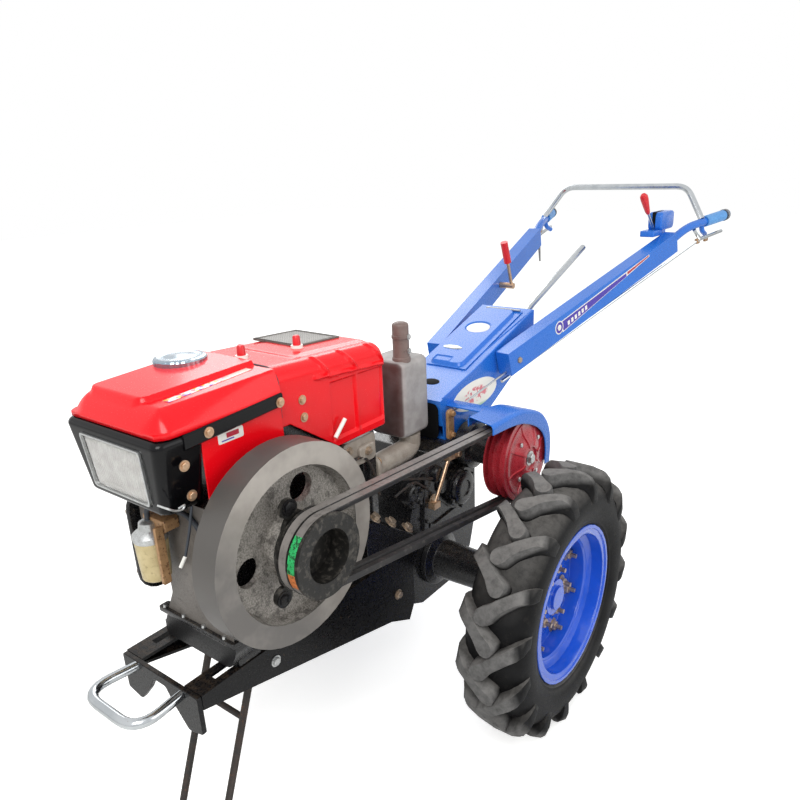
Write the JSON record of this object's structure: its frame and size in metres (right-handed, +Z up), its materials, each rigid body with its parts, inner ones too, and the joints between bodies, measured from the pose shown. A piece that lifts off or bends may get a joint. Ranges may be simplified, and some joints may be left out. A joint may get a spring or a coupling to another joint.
{
  "type": "walking tractor",
  "caption": "Two-wheel walking tractor: single-cylinder diesel with open flywheel and belt drive on a black chassis, deep-lugged tyres, long handlebars, folding front stand.",
  "frame": {"origin": "middle of the outer box, on the ground plane under tyres and stand", "axes": "+Z up, -Y the way it drives (lamp and stand end), +X its left side with flywheel and belts"},
  "size_m": [0.932, 2.2186, 1.0889],
  "materials": {
    "red_paint": "gloss enamel",
    "blue_paint": "gloss enamel",
    "rim_blue": "gloss enamel",
    "black_paint": "satin black enamel",
    "cast_iron": "machined and rough cast",
    "grey_paint": "dull grey",
    "chrome": "bright plated",
    "tyre_rubber": "dusty rubber",
    "belt_rubber": "dull",
    "dark_red": "dull red enamel",
    "lamp_glass": "fluted, milky",
    "filter_metal": "cream and zinc",
    "grip_rubber": "dark moulded"
  },
  "bodies": {
    "frame": {"axle_housing_left": "black_paint", "axle_housing_right": "black_paint", "belt_guard": "blue_paint", "belt_inner": "belt_rubber", "belt_outer": "belt_rubber", "bumper": "chrome", "clutch_lever": "red_paint", "clutch_rod": "cast_iron", "console": "blue_paint", "cross_tube": "chrome", "engine_block": "black_paint", "exhaust_elbow": "grey_paint", "front_panel": "black_paint", "front_plate": "black_paint", "fuel_filter": "filter_metal", "gearbox": "black_paint", "grip_left": "grip_rubber", "grip_right": "grip_rubber", "handle_left": "blue_paint", "handle_right": "blue_paint", "headlamp": "lamp_glass", "hitch_bracket": "black_paint", "hood": "red_paint", "main_shift_lever": "chrome", "muffler": "grey_paint", "rail_left": "black_paint", "rail_right": "black_paint", "rear_cover": "red_paint", "side_panel_left": "red_paint", "side_panel_right": "red_paint", "stand_pin": "cast_iron", "steering_lever_left": "chrome", "steering_lever_right": "chrome", "sub_shift_lever": "red_paint", "tank_cap": "chrome"},
    "wheel_left": {"tyre_left": "tyre_rubber", "rim_left": "rim_blue"},
    "wheel_right": {"tyre_right": "tyre_rubber", "rim_right": "rim_blue"},
    "flywheel_body": {"flywheel": "cast_iron", "engine_pulley": "black_paint"},
    "clutch": {"clutch_pulley": "dark_red", "clutch_cover": "dark_red"},
    "stand_body": {"stand": "black_paint"},
    "lid": {"console_lid": "blue_paint"}
  },
  "joints": [
    {"name": "wheel_left_spin", "type": "hinge", "parent": "frame", "child": "wheel_left", "pos_m": [0, -0.31658, 0.294], "axis": [1, 0, 0], "continuous": true},
    {"name": "wheel_right_spin", "type": "hinge", "parent": "frame", "child": "wheel_right", "pos_m": [0, -0.31658, 0.294], "axis": [1, 0, 0], "continuous": true},
    {"name": "flywheel_spin", "type": "hinge", "parent": "frame", "child": "flywheel_body", "pos_m": [0, -0.83258, 0.607], "axis": [1, 0, 0], "continuous": true},
    {"name": "clutch_spin", "type": "hinge", "parent": "frame", "child": "clutch", "pos_m": [0, -0.17858, 0.537], "axis": [1, 0, 0], "continuous": true},
    {"name": "stand_fold", "type": "hinge", "parent": "frame", "child": "stand_body", "pos_m": [0, -0.85158, 0.347], "axis": [1, 0, 0], "range_deg": [0, 92]},
    {"name": "console_lid_open", "type": "hinge", "parent": "frame", "child": "lid", "pos_m": [0, 0.16142, 0.79673], "axis": [-1, 0, 0], "range_deg": [0, 75]}
  ],
  "couplings": [
    {"joint": "clutch_spin", "follows": "flywheel_spin", "ratio": 0.6735}
  ]
}
